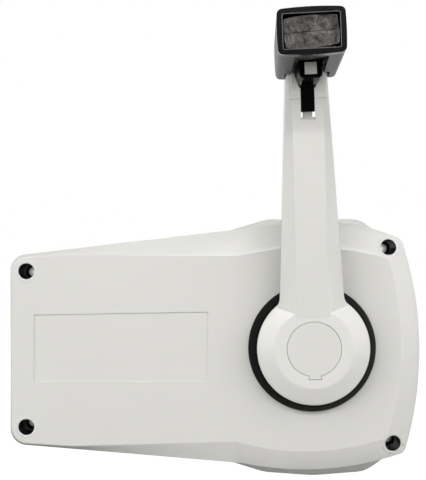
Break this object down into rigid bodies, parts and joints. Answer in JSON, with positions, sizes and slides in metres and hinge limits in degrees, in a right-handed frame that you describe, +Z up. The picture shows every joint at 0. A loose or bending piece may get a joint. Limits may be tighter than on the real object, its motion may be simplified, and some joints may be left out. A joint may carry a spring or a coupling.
{
  "type": "boat throttle control lever",
  "caption": "Side-mount boat engine control box with a swinging throttle and shift lever, a T grip with an interlock trigger, and a round hub with a keyed centre button.",
  "frame": {"origin": "on the lever's turning axis, at the flat back of the box where it meets the panel", "axes": "+Y points into the panel, the lever and the face of the box are towards -Y; +Z is up along the lever at neutral; -X is the end where the cables leave"},
  "size_m": [0.272, 0.17, 0.2911],
  "materials": {
    "cover_plastic": "satin moulded, warm light grey",
    "housing_plastic": "satin moulded, warm light grey",
    "sleeve_nylon": "matt dark navy moulded",
    "stainless_screw": "plain stainless",
    "bush_nylon": "natural nylon",
    "bezel_plastic": "glossy black",
    "lock_ring_nylon": "black glass-filled nylon",
    "turned_steel": "turned steel",
    "spring_steel": "drawn spring steel",
    "zinc_plate": "zinc plated",
    "switch_plastic": "moulded switch case",
    "plunger_plastic": "red acetal",
    "clamp_nylon": "black nylon",
    "grommet_rubber": "soft black rubber",
    "swivel_brass": "turned brass",
    "lever_paint": "satin paint on die-cast aluminium",
    "button_plastic": "satin moulded, warm light grey",
    "grip_plastic": "glossy black shell",
    "core_plastic": "scuffed dark grey end core",
    "trigger_plastic": "matt black",
    "insert_plastic": "pale grey"
  },
  "bodies": {
    "box": {"front_cover": "cover_plastic", "rear_housing": "housing_plastic", "mounting_sleeves": "sleeve_nylon", "cover_screws": "stainless_screw", "front_bush": "bush_nylon", "rear_bush": "bush_nylon", "pivot_bezel": "bezel_plastic", "lock_ring": "lock_ring_nylon", "lock_ring_screws": "stainless_screw", "shift_stub": "turned_steel", "shift_stub_clip": "spring_steel", "detent_pin": "turned_steel", "detent_spring": "spring_steel", "friction_pad": "bush_nylon", "friction_screw": "stainless_screw", "neutral_switch": "switch_plastic", "switch_screws": "stainless_screw", "cable_clamp": "clamp_nylon", "clamp_screws": "stainless_screw", "cable_grommets": "grommet_rubber"},
    "lever": {"lever_arm": "lever_paint", "grip_sleeve": "grip_plastic", "grip_core_upper": "core_plastic", "grip_core_lower": "core_plastic", "grip_screw": "stainless_screw", "hub_nut": "stainless_screw", "hub_washer": "stainless_screw", "main_shaft": "turned_steel", "shaft_keys": "turned_steel", "shaft_clip": "spring_steel", "drive_gear": "zinc_plate", "throttle_crank": "zinc_plate", "crank_pin": "turned_steel", "detent_disc": "zinc_plate", "button_spring": "spring_steel", "trigger_spring": "spring_steel"},
    "trigger": {"trigger": "trigger_plastic", "trigger_insert": "insert_plastic", "lock_bar": "turned_steel"},
    "button": {"throttle_button": "button_plastic", "button_rod": "turned_steel"},
    "shift_gear": {"shift_gear": "zinc_plate", "shift_arm_pin": "turned_steel"},
    "shift_swivel": {"shift_swivel": "swivel_brass"},
    "throttle_swivel": {"throttle_swivel": "swivel_brass"},
    "detent": {"detent_arm": "zinc_plate", "detent_roller": "bush_nylon"},
    "plunger": {"switch_plunger": "plunger_plastic"}
  },
  "joints": [
    {"name": "lever_swing", "type": "hinge", "parent": "box", "child": "lever", "pos_m": [0, 0, 0], "axis": [0, 1, 0], "range_deg": [-70, 90]},
    {"name": "shift_gear_turn", "type": "hinge", "parent": "box", "child": "shift_gear", "pos_m": [-0.0525, 0, 0], "axis": [0, 1, 0], "range_deg": [-36.5, 28.5]},
    {"name": "shift_swivel_turn", "type": "hinge", "parent": "shift_gear", "child": "shift_swivel", "pos_m": [-0.0525, 0, 0.045], "axis": [0, 1, 0], "range_deg": [-28.5, 36.5]},
    {"name": "throttle_swivel_turn", "type": "hinge", "parent": "lever", "child": "throttle_swivel", "pos_m": [-0.032, 0, 0], "axis": [0, 1, 0], "range_deg": [-90.5, 70.5]},
    {"name": "detent_lift", "type": "hinge", "parent": "box", "child": "detent", "pos_m": [0.039, 0, -0.026], "axis": [0, 1, 0], "range_deg": [0, 5], "stiffness_Nm_per_rad": 1.5, "springref_deg": -4.58, "deforming": ["detent_spring"]},
    {"name": "plunger_press", "type": "slide", "parent": "box", "child": "plunger", "axis": [0, 0, 1], "range_m": [0, 0.0015], "stiffness_N_per_m": 400, "springref_m": -0.002},
    {"name": "button_press", "type": "slide", "parent": "lever", "child": "button", "axis": [0, 1, 0], "range_m": [0, 0.003], "stiffness_N_per_m": 1500, "springref_m": -0.003, "deforming": ["button_spring"]},
    {"name": "trigger_lift", "type": "slide", "parent": "lever", "child": "trigger", "axis": [-0.0395, -0.1758, 0.9836], "range_m": [0, 0.003], "stiffness_N_per_m": 1200, "springref_m": -0.003, "deforming": ["trigger_spring"]}
  ],
  "couplings": [
    {"joint": "shift_gear_turn", "follows": "lever_swing", "ratio": -0.4},
    {"joint": "shift_swivel_turn", "follows": "lever_swing", "ratio": 0.4},
    {"joint": "throttle_swivel_turn", "follows": "lever_swing", "ratio": -1}
  ]
}
